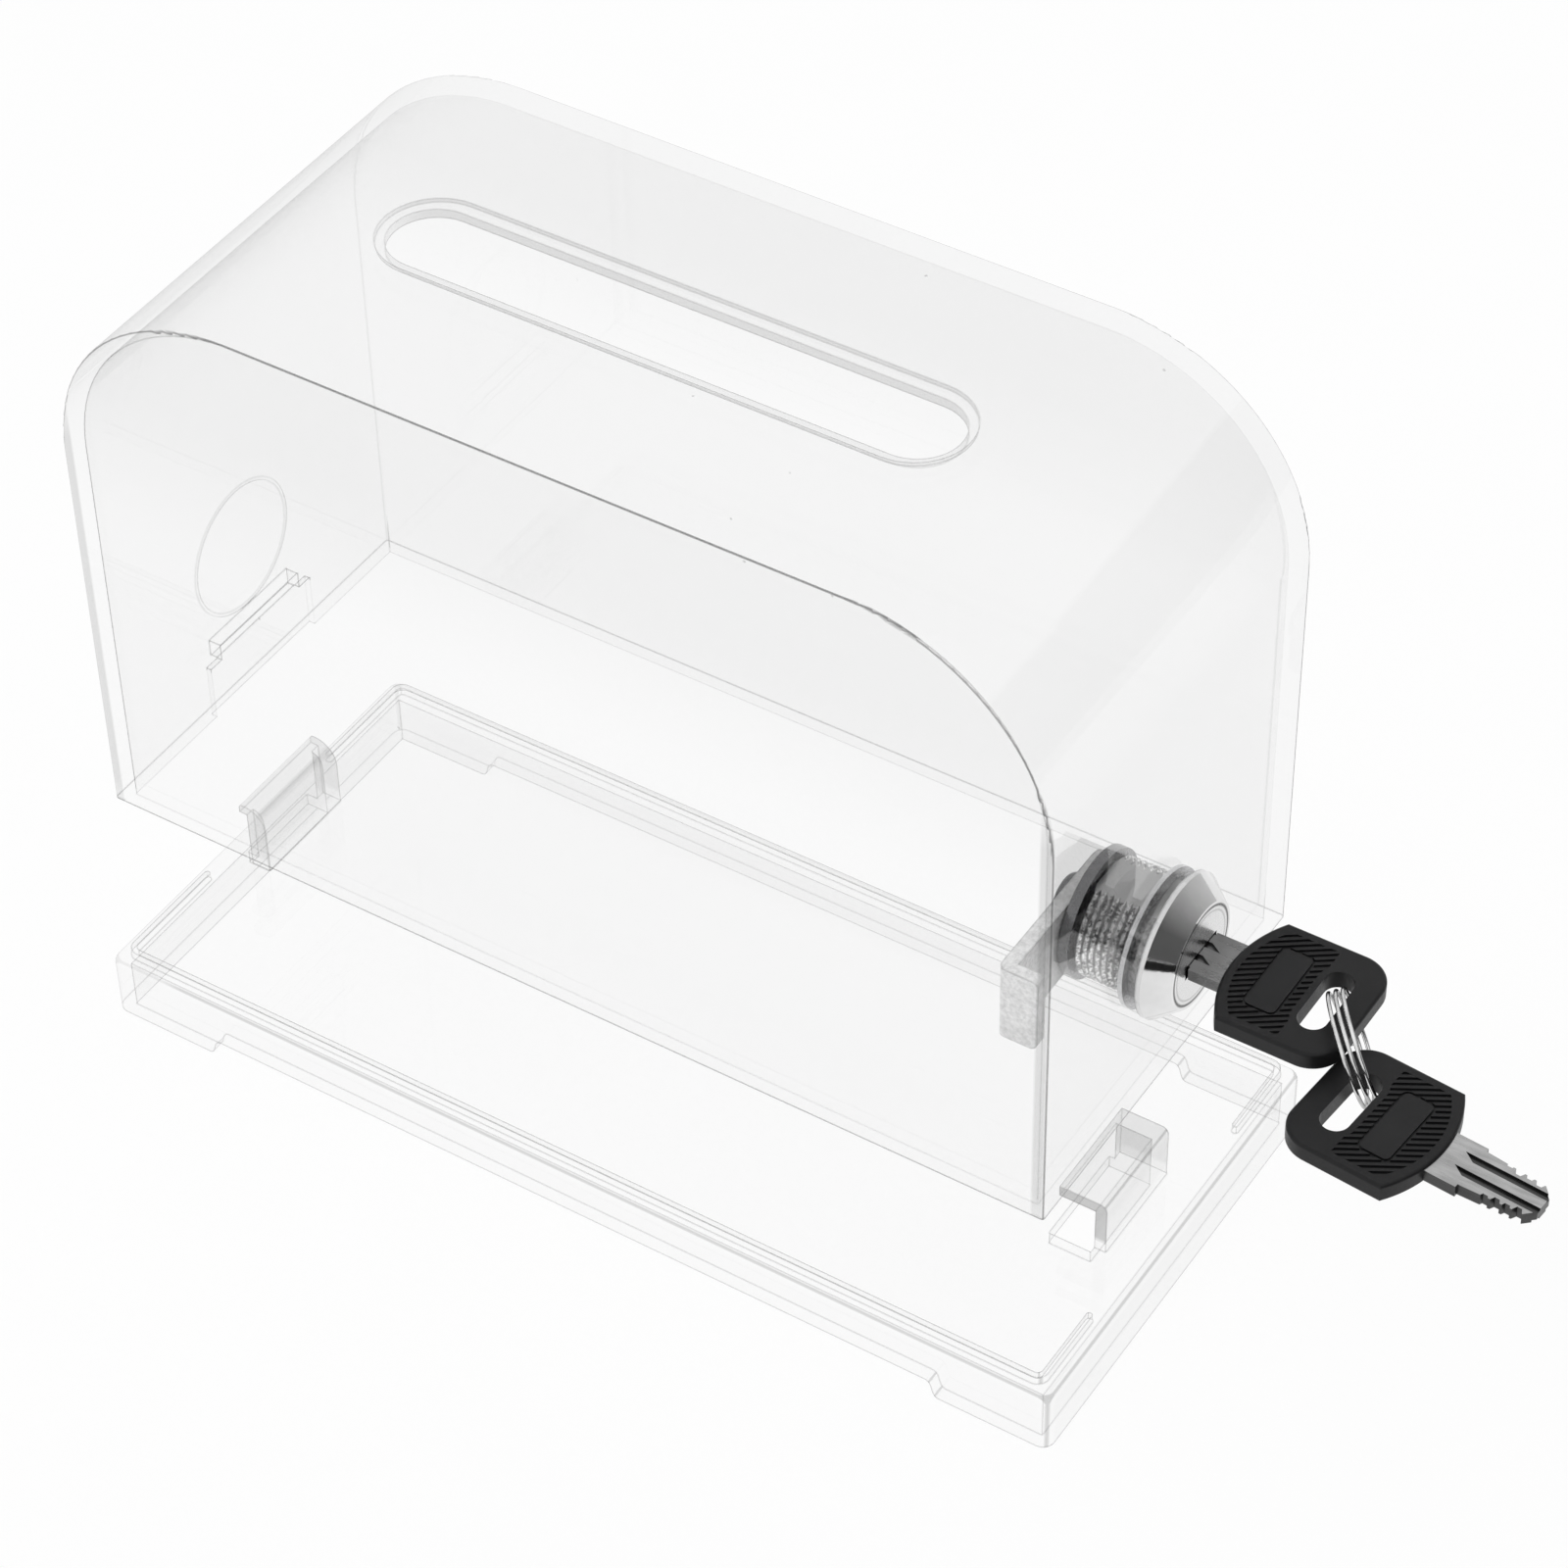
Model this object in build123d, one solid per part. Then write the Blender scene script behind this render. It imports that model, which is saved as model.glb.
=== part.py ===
from build123d import *
import math
import os

os.makedirs("parts", exist_ok=True)

# All lengths in millimetres. +X along the length toward the lock, -Y the open front side,
# +Z up. The base stands on z = 0. Heights on the cover count from its own bottom edge.

# Base tray
base_end_margin = 3.5
base_side_margin = 3.0
base_height = 11.0
base_wall = 2.2
base_corner_radius = 2.0
base_edge_radius = 1.4
base_foot_length = 18.0
base_relief_height = 3.0
base_relief_run = 2.6
rib_width = 1.0
rib_height = 1.4
rib_gap = 0.35
rib_corner_radius = 0.9
rib_right_front = 21.8
rib_right_rear = 21.3
rib_left_reach = 16.0

# Cover
cover_length = 160.0
cover_width = 69.0
cover_height = 98.5
cover_top_radius = 31.5
cover_wall = 2.2
cover_edge_radius = 0.5
cover_lift = 33.0
cover_seat_gap = 0.2
ballot_slot_length = 90.6
ballot_slot_width = 13.4
ballot_rim_length = 93.3
ballot_rim_width = 17.0
ballot_rim_depth = 0.7
wall_slot_width = 19.4
wall_slot_bottom = 9.5
wall_slot_top = 12.4
wall_recess_width = 24.8
wall_web = 1.2
wall_ring_radius = 11.2
wall_ring_width = 0.5
wall_ring_depth = 0.25

# Catch at the lock end of the base, sized from the plate of the base
catch_wall_gap = 1.4
catch_wall = 1.9
catch_height = 9.6
catch_flange = 1.9
catch_reach = 7.9
catch_front = 9.3
catch_rear = 7.2
catch_end_plate = 1.5
catch_edge_radius = 1.2
catch_hole_margin = 0.9
catch_hole_front_margin = 1.0

# Hook at the other end of the base, sized from the plate of the base
hook_tip_gap = 0.2
hook_wall = 1.6
hook_reach = 4.9
hook_bend_radius = 4.0
hook_lip_bottom = 10.3
hook_half_width = 9.3
hook_web = 1.6
hook_web_setback = 1.4
hook_tip_radius = 0.6
hook_hole_length = 3.9

# Lock
lock_height = 23.9
barrel_radius = 9.0
barrel_flats = 16.0
barrel_length = 11.0
barrel_hole_clearance = 0.1
thread_pitch = 1.0
thread_depth = 0.4
thread_first = 2.4
thread_count = 8
barrel_chamfer = 0.6
bezel_radius = 11.0
bezel_rim = 0.8
bezel_face_radius = 8.2
bezel_height = 4.2
running_gap = 0.05
plug_head_radius = 7.5
plug_head_length = 2.4
plug_radius = 6.2
plug_tail_radius = 5.0
plug_tail_flats = 6.0
tail_gap = 0.05
wafer_groove_radius = 7.4
wafer_groove_width = 5.0
retainer_groove_radius = 7.2
retainer_groove_length = 1.2
stop_lug_inner = 7.7
stop_lug_outer = 8.7
stop_lug_angle = 30.0
stop_spare_angle = 2.0
lock_turn_angle = 90.0

# Fixing ring and stop washer behind the wall
fixing_ring_radius = 10.6
fixing_ring_thickness = 0.7
fixing_ring_gap = 0.05
stop_washer_gap = 0.2
stop_washer_thickness = 1.6
stop_washer_radius = 9.8
stop_notch_radius = 7.5

# Cam
cam_gap = 0.2
cam_thickness = 2.2
cam_width = 13.0
cam_reach = 22.0
cam_back = 7.5
cam_tab_length = 4.2
cam_tab_thickness = 2.0
cam_corner_radius = 1.2
cam_washer_radius = 5.0
cam_washer_thickness = 0.6
screw_radius = 1.9
screw_hole_radius = 2.0
screw_length = 6.0
screw_head_radius = 4.0
screw_head_height = 1.8
screw_recess_length = 4.6
screw_recess_width = 1.0
screw_recess_depth = 0.9

# Wafers and their springs
wafer_count = 5
wafer_first = 3.6
wafer_pitch = 1.6
wafer_thickness = 0.8
wafer_gap = 0.05
wafer_height = 7.0
wafer_radius = 6.1
wafer_notch_length = 4.6
wafer_notch_depth = 1.0
retainer_offset = 12.6
retainer_height = 4.8
retainer_reach = 6.9
spring_turns = 7
spring_coil_radius = 0.28
spring_wire_width = 0.2
spring_pitch = 0.5

# Keys, measured from the middle of the ring slot toward the tip of the blade
blade_width = 8.3
blade_thickness = 2.0
blade_length = 15.3
blade_root = 6.0
blade_tip_chamfer = 1.4
blade_tip_width = 5.8
blade_step = 0.55
blade_step_start = 4.4
blade_cut_width = 0.7
blade_cut_shares = (0.35, 1.0, 0.6, 0.85, 0.5)
blade_cut_depth = 0.75
blade_groove_width = 1.2
blade_groove_depth = 0.45
blade_groove_run = 1.8
blade_groove_offset = 1.4
blade_groove_start = 4.0
keyway_gap = 0.2
keyway_spare = 0.6
head_width = 21.0
head_length = 20.3
head_thickness = 3.0
head_corner_radius = 5.0
head_arc_radius = 19.0
head_edge_radius = 0.5
head_slot_width = 4.3
head_slot_length = 12.0
head_slot_inset = 5.8
panel_length = 4.6
panel_width = 12.0
panel_offset = 7.2
panel_corner_radius = 0.8
field_margin = 1.4
field_slot_margin = 1.0
field_depth = 0.3
field_panel_gap = 0.35
field_rib_pitch = 1.0
field_rib_width = 0.5
field_rib_angle = 35.0
key_1_stand_off = 19.2
key_2_reach = 10.2
key_2_y = -11.7
key_2_drop = 3.6
key_2_yaw = -5.0

# Split ring
ring_reach = 5.65
ring_y = -2.0
ring_drop = 2.86
ring_azimuth = 37.3
ring_elevation = 19.4
ring_radius = 8.07
ring_wire_radius = 0.3
ring_pitch = 1.05
ring_turns = 2.75
ring_start_angle = 315.0

# Sizes and positions that follow from the sizes above
base_length = cover_length + 2 * base_end_margin
base_width = cover_width + 2 * base_side_margin
plate_top = base_height
cover_bottom = base_height + cover_seat_gap + cover_lift
end_face = cover_length / 2
lock_z = cover_bottom + lock_height
lock_face = end_face + bezel_height
barrel_rear = end_face - barrel_length
stop_washer_front = barrel_rear - stop_washer_gap
stop_washer_rear = stop_washer_front - stop_washer_thickness
cam_front = stop_washer_rear - cam_gap
cam_rear = cam_front - cam_thickness
plug_rear = cam_rear
key_1_x = lock_face + key_1_stand_off
key_2_x = key_1_x + key_2_reach
key_2_z = lock_z - key_2_drop
ring_x = key_1_x + ring_reach
ring_z = lock_z - ring_drop
bore_radius = plug_radius + running_gap
catch_outer = end_face - cover_wall - catch_wall_gap
catch_inner = catch_outer - catch_wall
catch_tip = catch_outer - catch_reach
catch_under = catch_height - catch_flange
hook_tip = -end_face + wall_web + hook_tip_gap
hook_inner = hook_tip + hook_reach
hook_top = hook_lip_bottom + hook_wall
head_apex = head_length - head_slot_inset
blade_tip = head_apex + blade_length


def block(x0, x1, y0, y1, z0, z1):
    size = Box(x1 - x0, y1 - y0, z1 - z0)
    return Pos((x0 + x1) / 2, (y0 + y1) / 2, (z0 + z1) / 2) * size


def rod(radius, x0, x1):
    return Pos((x0 + x1) / 2, 0, 0) * Rot(0, 90, 0) * Cylinder(radius, x1 - x0)


def flatted_rod(radius, flats, x0, x1):
    return rod(radius, x0, x1) & block(x0, x1, -radius, radius, -flats / 2, flats / 2)


def rounded_block(length, width, height, radius):
    sketch = RectangleRounded(length, width, radius)
    return extrude(sketch, height)


def save(name, shape):
    solids = shape.solids() if hasattr(shape, "solids") else shape
    out = solids[0] if len(solids) == 1 else Compound(children=list(solids))
    export_step(out, "parts/" + name + ".step")
    print(name, len(solids), "solids", round(sum(s.volume for s in solids), 1), "mm3")


# Base tray
def tray_shell():
    outer = rounded_block(base_length, base_width, base_height, base_corner_radius)
    top = outer.edges().group_by(Axis.Z)[-1]
    outer = fillet(top, base_edge_radius)
    inner_length = base_length - 2 * base_wall
    inner_width = base_width - 2 * base_wall
    return outer - extrude(Rectangle(inner_length, inner_width), base_height - base_wall)


def tray_relief():
    foot = base_length / 2 - base_foot_length
    inner = foot - base_relief_run
    level = base_relief_height
    right = Spline((foot, 0), (inner, level), tangents=((-1, 0), (-1, 0)))
    left = Spline((-inner, level), (-foot, 0), tangents=((-1, 0), (-1, 0)))
    top = Line((inner, level), (-inner, level))
    bottom = Line((-foot, 0), (foot, 0))
    face = make_face(Curve() + [right, top, left, bottom])
    return extrude(Plane.XZ * face, base_width, both=True)


def rib_ring():
    inner_length = cover_length + 2 * rib_gap
    inner_width = cover_width + 2 * rib_gap
    outer_radius = rib_corner_radius + rib_width
    outer = RectangleRounded(inner_length + 2 * rib_width, inner_width + 2 * rib_width, outer_radius)
    ring = outer - RectangleRounded(inner_length, inner_width, rib_corner_radius)
    return Pos(0, 0, plate_top) * extrude(ring, rib_height)


def rib_end(x, y):
    return Pos(x, y, plate_top + rib_height / 2) * Cylinder(rib_width / 2, rib_height)


def tray_ribs():
    top = plate_top + rib_height
    middle = end_face + rib_gap + rib_width / 2
    outer = end_face + rib_gap + rib_width
    ribs = rib_ring()
    ribs -= block(0, outer, -rib_right_front, rib_right_rear, plate_top, top)
    ribs -= block(-outer, 0, -rib_left_reach, rib_left_reach, plate_top, top)
    ends = [
        (middle, -rib_right_front), (middle, rib_right_rear),
        (-middle, -rib_left_reach), (-middle, rib_left_reach),
    ]
    for x, y in ends:
        ribs += rib_end(x, y)
    return ribs


def catch_bracket():
    rear = catch_rear + catch_end_plate
    top = plate_top + catch_height
    body = block(catch_tip, catch_outer, -catch_front, rear, plate_top, top)
    edge = body.edges().filter_by(Axis.Y).group_by(Axis.Z)[-1].sort_by(Axis.X)[-1]
    body = fillet(edge, catch_edge_radius)
    under = plate_top + catch_under
    return body - block(catch_tip, catch_inner, -catch_front, catch_rear, plate_top, under)


def catch_hole():
    front = -catch_front - catch_hole_front_margin
    tip = catch_tip - catch_hole_margin
    return block(tip, catch_inner, front, catch_rear, plate_top - base_wall, plate_top)


def hook_block():
    top = plate_top + hook_top
    body = block(hook_tip, hook_inner, -hook_half_width, hook_half_width, plate_top, top)
    edges = body.edges().filter_by(Axis.Y).group_by(Axis.Z)[-1].sort_by(Axis.X)
    body = fillet(edges[-1], hook_bend_radius)
    edges = body.edges().filter_by(Axis.Y).group_by(Axis.Z)[-1].sort_by(Axis.X)
    return fillet(edges[0], hook_tip_radius)


def hook_void():
    under = plate_top + hook_lip_bottom
    wall_face = hook_inner - hook_wall
    void = block(hook_tip, wall_face, -hook_half_width, hook_half_width, plate_top, under)
    edges = void.edges().filter_by(Axis.Y).group_by(Axis.Z)[-1].sort_by(Axis.X)
    return fillet(edges[-1], hook_bend_radius - hook_wall)


def hook_bracket():
    solid = hook_block()
    lip = solid - hook_void()
    edge = hook_tip + hook_web_setback
    top = plate_top + hook_top
    inner = hook_half_width - hook_web
    for side in (-1, 1):
        y0, y1 = sorted((side * inner, side * hook_half_width))
        lip += solid & block(edge, hook_inner, y0, y1, plate_top, top)
    return lip


def hook_hole():
    half = hook_half_width - hook_web
    wall_face = hook_inner - hook_wall
    tip = wall_face - hook_hole_length
    return block(tip, wall_face, -half, half, plate_top - base_wall, plate_top)


def base_tray():
    tray = tray_shell() - tray_relief()
    tray += tray_ribs()
    tray += catch_bracket()
    tray += hook_bracket()
    return tray - catch_hole() - hook_hole()


# Cover
def cover_profile(inset):
    half = end_face - inset
    top = cover_height - inset
    radius = cover_top_radius - inset
    left = Line((-half, 0), (-half, top - radius))
    left_arc = RadiusArc(left @ 1, (-half + radius, top), radius)
    crown = Line(left_arc @ 1, (half - radius, top))
    right_arc = RadiusArc(crown @ 1, (half, top - radius), radius)
    right = Line(right_arc @ 1, (half, 0))
    floor = Line(right @ 1, left @ 0)
    return make_face(Curve() + [left, left_arc, crown, right_arc, right, floor])


def cover_body():
    outer = extrude(Plane.XZ * cover_profile(0), cover_width / 2, both=True)
    faces = [outer.faces().sort_by(Axis.Y)[0], outer.faces().sort_by(Axis.Y)[-1]]
    edges = []
    for face in faces:
        edges += face.edges().sort_by(Axis.Z)[1:]
    outer = fillet(edges, cover_edge_radius)
    inner = Plane.XZ * cover_profile(cover_wall)
    return outer - extrude(inner, cover_width / 2 - cover_wall, both=True)


def ballot_slot():
    hole = extrude(SlotOverall(ballot_slot_length, ballot_slot_width), cover_height)
    rim = extrude(SlotOverall(ballot_rim_length, ballot_rim_width), cover_height)
    hole = Pos(0, 0, cover_height / 2) * hole
    return hole + Pos(0, 0, cover_height - ballot_rim_depth) * rim


def wall_slot():
    half = wall_slot_width / 2
    recess = wall_recess_width / 2
    inner = -end_face + cover_wall
    slot = block(-end_face, inner, -half, half, wall_slot_bottom, wall_slot_top)
    recess_face = -end_face + wall_web
    return slot + block(recess_face, inner, -recess, recess, 0, wall_slot_bottom)


def wall_ring():
    groove = rod(wall_ring_radius, -end_face, -end_face + wall_ring_depth)
    groove -= rod(wall_ring_radius - wall_ring_width, -end_face, -end_face + wall_ring_depth)
    return Pos(0, 0, lock_height) * groove


def barrel_hole():
    radius = barrel_radius + barrel_hole_clearance
    flats = barrel_flats + 2 * barrel_hole_clearance
    hole = flatted_rod(radius, flats, end_face - cover_wall, end_face)
    return Pos(0, 0, lock_height) * hole


def cover_shell():
    shell = cover_body() - ballot_slot() - wall_slot() - wall_ring() - barrel_hole()
    return Pos(0, 0, cover_bottom) * shell


# Lock: the shapes below turn about the X axis and are lifted to the lock height when saved
def bezel():
    rim = end_face + bezel_rim
    points = [
        (end_face, 0), (end_face, bezel_radius), (rim, bezel_radius),
        (lock_face, bezel_face_radius), (lock_face, 0),
    ]
    face = make_face(Polyline(*points, close=True))
    return revolve(face, Axis.X)


def thread_groove(x):
    half = thread_pitch / 2
    tip = barrel_radius - thread_depth
    face = make_face(Polyline((x - half, barrel_radius), (x, tip), (x + half, barrel_radius), close=True))
    return revolve(face, Axis.X)


def barrel():
    body = rod(barrel_radius, barrel_rear, end_face)
    rear = body.faces().sort_by(Axis.X)[0].edges()
    body = chamfer(rear, barrel_chamfer)
    half = barrel_flats / 2
    body &= block(barrel_rear, end_face, -barrel_radius, barrel_radius, -half, half)
    for number in range(thread_count):
        body -= thread_groove(end_face - thread_first - (number + 1 / 2) * thread_pitch)
    return body


def sector(inner, outer, start, sweep, x0, x1):
    points = [(0, 0)]
    steps = 12
    reach = 2 * outer
    for step in range(steps + 1):
        angle = math.radians(start + sweep * step / steps)
        points.append((reach * math.cos(angle), reach * math.sin(angle)))
    face = make_face(Polyline(*points, close=True))
    wedge = Pos(x0, 0, 0) * extrude(Plane.YZ * face, x1 - x0)
    tube = rod(outer, x0, x1) - rod(inner, x0, x1)
    return tube & wedge


def stop_lug():
    start = -stop_lug_angle / 2
    return sector(stop_lug_inner, stop_lug_outer, start, stop_lug_angle, stop_washer_rear, barrel_rear)


def retainer_x():
    return lock_face - retainer_offset


def lock_bore():
    head_rear = lock_face - plug_head_length
    bore = rod(bore_radius, barrel_rear, lock_face)
    bore += rod(plug_head_radius + running_gap, head_rear, lock_face)
    half = retainer_groove_length / 2
    bore += rod(retainer_groove_radius, retainer_x() - half, retainer_x() + half)
    reach = wafer_groove_radius
    groove_half = wafer_groove_width / 2
    first = lock_face - wafer_first + wafer_thickness
    last = lock_face - wafer_first - (wafer_count - 1) * wafer_pitch - wafer_thickness
    groove = block(last, first, -reach, reach, -groove_half, groove_half)
    return bore + (groove & rod(wafer_groove_radius, last, first))


def lock_housing():
    return bezel() + barrel() + stop_lug() - lock_bore()


def keyway():
    half_width = blade_width / 2 + keyway_gap
    half_height = blade_thickness / 2 + keyway_gap
    tip = key_1_x - blade_tip - keyway_spare
    return block(tip, lock_face, -half_width, half_width, -half_height, half_height)


def wafer_slot(x):
    half = wafer_thickness / 2 + wafer_gap
    height = wafer_height / 2 + wafer_gap
    return block(x - half, x + half, -plug_radius, plug_radius, -height, height)


def wafer_places():
    return [lock_face - wafer_first - number * wafer_pitch for number in range(wafer_count)]


def lock_plug():
    head_rear = lock_face - plug_head_length
    body = rod(plug_head_radius, head_rear + running_gap, lock_face)
    body += rod(plug_radius, barrel_rear - stop_washer_gap, lock_face)
    body += flatted_rod(plug_tail_radius, plug_tail_flats, plug_rear, barrel_rear)
    body -= keyway()
    body -= rod(screw_hole_radius, plug_rear, plug_rear + screw_length)
    for x in wafer_places():
        body -= wafer_slot(x)
    half = wafer_thickness / 2 + wafer_gap
    height = retainer_height / 2 + wafer_gap
    x = retainer_x()
    return body - block(x - half, x + half, 0, plug_radius, -height, height)


def wafer(x):
    half = wafer_thickness / 2
    height = wafer_height / 2
    plate = rod(wafer_radius, x - half, x + half)
    plate &= block(x - half, x + half, -wafer_radius, wafer_radius, -height, height)
    window_width = blade_width / 2 + keyway_gap
    window_height = blade_thickness / 2 + keyway_gap
    plate -= block(x - half, x + half, -window_width, window_width, -window_height, window_height)
    notch = wafer_notch_length / 2
    notch_floor = height - wafer_notch_depth
    return plate - block(x - half, x + half, -notch, notch, notch_floor, height)


def wafers():
    return [wafer(x).solids()[0] for x in wafer_places()]


def retainer():
    x = retainer_x()
    half = wafer_thickness / 2
    height = retainer_height / 2
    plate = rod(retainer_reach, x - half, x + half)
    return plate & block(x - half, x + half, wafer_gap, retainer_reach, -height, height)


def wafer_springs():
    springs = []
    rise = wafer_height / 2 - wafer_notch_depth / 2
    for x in wafer_places():
        path = Helix(spring_pitch, spring_turns * spring_pitch, spring_coil_radius)
        start = Plane(path @ 0, z_dir=path % 0)
        wire = Rectangle(spring_wire_width, spring_wire_width)
        coil = sweep(start * wire, path, is_frenet=True)
        half = spring_turns * spring_pitch / 2
        springs.append((Pos(x, half, rise) * Rot(90, 0, 0) * coil).solids()[0])
    return springs


# Fixing ring, stop washer, cam and screw
def fixing_ring():
    wall_face = end_face - cover_wall
    rear = wall_face - fixing_ring_thickness
    hole_flats = barrel_flats + 2 * fixing_ring_gap
    hole = flatted_rod(barrel_radius + fixing_ring_gap, hole_flats, rear, wall_face)
    return rod(fixing_ring_radius, rear, wall_face) - hole


def tail_hole(x0, x1):
    radius = plug_tail_radius + tail_gap
    return flatted_rod(radius, plug_tail_flats + 2 * tail_gap, x0, x1)


def stop_washer():
    body = rod(stop_washer_radius, stop_washer_rear, stop_washer_front)
    notch_sweep = lock_turn_angle + stop_lug_angle + 2 * stop_spare_angle
    start = stop_lug_angle / 2 + stop_spare_angle - notch_sweep
    reach = 2 * stop_washer_radius
    notch = sector(stop_notch_radius, reach, start, notch_sweep, stop_washer_rear, stop_washer_front)
    return body - notch - tail_hole(stop_washer_rear, stop_washer_front)


def cam_hook():
    half = cam_width / 2
    plate = block(cam_rear, cam_front, -cam_reach, cam_back, -half, half)
    edges = plate.edges().filter_by(Axis.X).group_by(Axis.Y)[-1]
    plate = fillet(edges, half * 2 / 3)
    tab_end = cam_front + cam_tab_length
    plate += block(cam_rear, tab_end, -cam_reach, -cam_reach + cam_tab_thickness, -half, half)
    bend = plate.edges().filter_by(Axis.Z).group_by(Axis.Y)[0].sort_by(Axis.X)[0]
    plate = fillet(bend, cam_corner_radius)
    tips = plate.edges().filter_by(Axis.Y).group_by(Axis.X)[-1]
    plate = fillet(tips, cam_corner_radius)
    return plate - tail_hole(cam_rear, cam_front)


def cam_washer():
    front = plug_rear
    rear = front - cam_washer_thickness
    return rod(cam_washer_radius, rear, front) - rod(screw_hole_radius, rear, front)


def cam_screw():
    seat = plug_rear - cam_washer_thickness
    head_rear = seat - screw_head_height
    screw = rod(screw_radius, seat, plug_rear + screw_length)
    head = rod(screw_head_radius, head_rear, seat)
    rim = head.faces().sort_by(Axis.X)[0].edges()
    screw += fillet(rim, screw_head_height / 2)
    long = screw_recess_length / 2
    slim = screw_recess_width / 2
    floor = head_rear + screw_recess_depth
    screw -= block(head_rear, floor, -long, long, -slim, slim)
    return screw - block(head_rear, floor, -slim, slim, -long, long)


# Keys, drawn flat with the blade toward +X and the ring slot in the middle of the axes
def head_outline(inset):
    bow = -head_slot_inset + inset
    half = head_width / 2 - inset
    sagitta = head_arc_radius - math.sqrt(head_arc_radius ** 2 - (head_width / 2) ** 2)
    shoulder = head_apex - sagitta - inset
    apex = head_apex - inset
    corner = head_corner_radius - inset
    lines = [
        Line((bow, half - corner), (bow, -half + corner)),
        RadiusArc((bow, -half + corner), (bow + corner, -half), -corner),
        Line((bow + corner, -half), (shoulder, -half)),
        ThreePointArc((shoulder, -half), (apex, 0), (shoulder, half)),
        Line((shoulder, half), (bow + corner, half)),
        RadiusArc((bow + corner, half), (bow, half - corner), -corner),
    ]
    return make_face(Curve() + lines)


def slot_outline(margin):
    return Rot(0, 0, 90) * SlotOverall(head_slot_length + 2 * margin, head_slot_width + 2 * margin)


def field_ribs():
    count = math.ceil(head_length / field_rib_pitch)
    bars = Sketch()
    for number in range(-count, count + 1):
        bar = Rectangle(2 * head_length, field_rib_width)
        bars += Rot(0, 0, field_rib_angle) * Pos(0, number * field_rib_pitch, 0) * bar
    return bars


def rib_field():
    panel = RectangleRounded(panel_length, panel_width, panel_corner_radius)
    rim_length = panel_length + 2 * field_panel_gap
    rim_width = panel_width + 2 * field_panel_gap
    rim = RectangleRounded(rim_length, rim_width, panel_corner_radius + field_panel_gap)
    area = head_outline(field_margin) - slot_outline(field_slot_margin)
    area &= Pos(panel_offset - panel_length, -head_width / 2, 0) * Rectangle(
        head_length, head_width, align=(Align.MIN, Align.MIN))
    field = area - field_ribs() - Pos(panel_offset, 0, 0) * rim
    return field + (Pos(panel_offset, 0, 0) * (rim - panel))


def key_head():
    half = head_thickness / 2
    body = extrude(head_outline(0), half, both=True)
    rims = body.edges().group_by(Axis.Z)[0] + body.edges().group_by(Axis.Z)[-1]
    body = fillet(rims, head_edge_radius)
    body -= extrude(slot_outline(0), half, both=True)
    field = rib_field()
    body -= Pos(0, 0, half - field_depth) * extrude(field, field_depth)
    body -= Pos(0, 0, -half) * extrude(field, field_depth)
    return body - blade_blank()


def blade_blank():
    root = head_apex - blade_root
    half = blade_width / 2
    thick = blade_thickness / 2
    return block(root, blade_tip, -half, half, -thick, thick)


def blade_edge(x):
    start = head_apex + blade_step_start
    root = blade_width / 2 - blade_step
    share = (x - start) / (blade_tip - start)
    return root + share * (blade_tip_width / 2 - root)


def blade_cut(x, side, share):
    edge = side * blade_edge(x)
    depth = edge - side * blade_cut_depth * share
    outside = edge + side * blade_cut_depth
    slant = blade_cut_depth * (1 + share) / 2
    flat = blade_cut_width / 2
    points = [
        (x - flat, depth), (x + flat, depth),
        (x + flat + slant, outside), (x - flat - slant, outside),
    ]
    return extrude(make_face(Polyline(*points, close=True)), blade_thickness / 2, both=True)


def blade_step_down(side):
    start = head_apex + blade_step_start
    outside = side * blade_width / 2
    points = [
        (start, outside), (start, side * blade_edge(start)),
        (blade_tip, side * blade_edge(blade_tip)), (blade_tip, outside),
    ]
    return extrude(make_face(Polyline(*points, close=True)), blade_thickness / 2, both=True)


def blade_tip_corner(side):
    back = blade_tip - blade_tip_chamfer
    outside = side * blade_edge(back)
    inner = side * (blade_tip_width / 2 - blade_tip_chamfer)
    points = [(blade_tip, inner), (blade_tip, outside), (back, outside)]
    return extrude(make_face(Polyline(*points, close=True)), blade_thickness / 2, both=True)


def blade_groove(offset, side):
    start = head_apex + blade_groove_start
    half = blade_groove_width / 2
    face = side * blade_thickness / 2
    floor = min(face, face - side * blade_groove_depth)
    points = [
        (start - blade_groove_run, offset + half), (blade_tip, offset + half),
        (blade_tip, offset - half), (start, offset - half),
    ]
    return Pos(0, 0, floor) * extrude(make_face(Polyline(*points, close=True)), blade_groove_depth)


def key_blade():
    blade = blade_blank()
    for side in (-1, 1):
        blade -= blade_step_down(side)
        blade -= blade_tip_corner(side)
        blade -= blade_groove(-blade_groove_offset, side)
        blade -= blade_groove(blade_groove_offset, side)
        shares = blade_cut_shares if side > 0 else blade_cut_shares[::-1]
        for place, share in zip(wafer_places(), shares):
            blade -= blade_cut(key_1_x - place, side, share)
    return blade


def key_1_place(shape):
    return Pos(key_1_x, 0, lock_z) * Rot(0, 0, 180) * shape


def key_2_place(shape):
    return Pos(key_2_x, key_2_y, key_2_z) * Rot(0, 0, key_2_yaw) * shape


# Split ring: flat turns of round wire, each stepping over to the next in its last quarter
def ring_plane():
    normal = Vector(1, 0, 0).rotate(Axis.Y, -ring_elevation).rotate(Axis.Z, ring_azimuth)
    across = Vector(0, 0, 1).cross(normal)
    return Plane((ring_x, ring_y, ring_z), x_dir=across, z_dir=normal)


def ring_point(quarter):
    angle = math.radians(ring_start_angle + 90 * quarter)
    rise = (quarter // 4 - (math.ceil(ring_turns) - 1) / 2) * ring_pitch
    return Vector(ring_radius * math.cos(angle), ring_radius * math.sin(angle), rise)


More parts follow.
